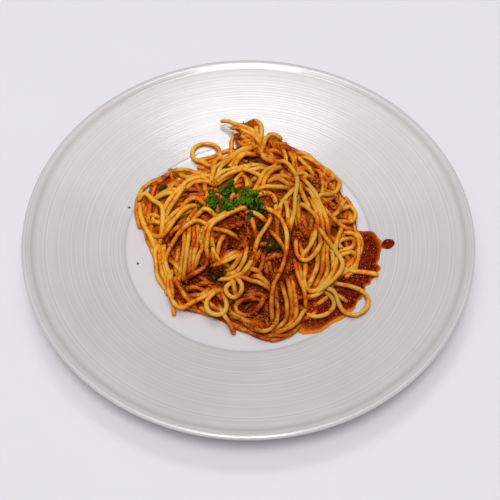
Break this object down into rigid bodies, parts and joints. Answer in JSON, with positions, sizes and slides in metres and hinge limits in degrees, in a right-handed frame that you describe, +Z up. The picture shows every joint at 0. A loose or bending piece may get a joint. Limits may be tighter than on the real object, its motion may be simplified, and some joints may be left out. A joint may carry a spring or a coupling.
{
  "type": "spaghetti bolognese on a plate",
  "caption": "Heap of spaghetti with meat sauce and parsley on a round white plate with a wide ridged rim; one noodle loop and a puddle of sauce lie beside the heap.",
  "frame": {"origin": "middle of the plate's foot ring, at the level it stands on", "axes": "+Z up out of the plate; -Y towards the eater; +X to the eater's right, the side of the sauce puddle"},
  "size_m": [0.3, 0.3, 0.0474],
  "materials": {
    "porcelain": "clear gloss glaze over white porcelain",
    "pasta": "moist, lightly oiled",
    "sauce": "wet, grainy, oily at its edge",
    "meat": "moist crumb",
    "parsley": "fresh leaf, slightly waxy"
  },
  "bodies": {
    "root": {"plate": "porcelain", "spaghetti": "pasta", "sauce_puddle": "sauce", "sauce_drop": "sauce", "meat_lump": "meat", "parsley_1": "parsley", "parsley_2": "parsley", "parsley_3": "parsley", "parsley_4": "parsley", "parsley_5": "parsley"}
  },
  "joints": []
}
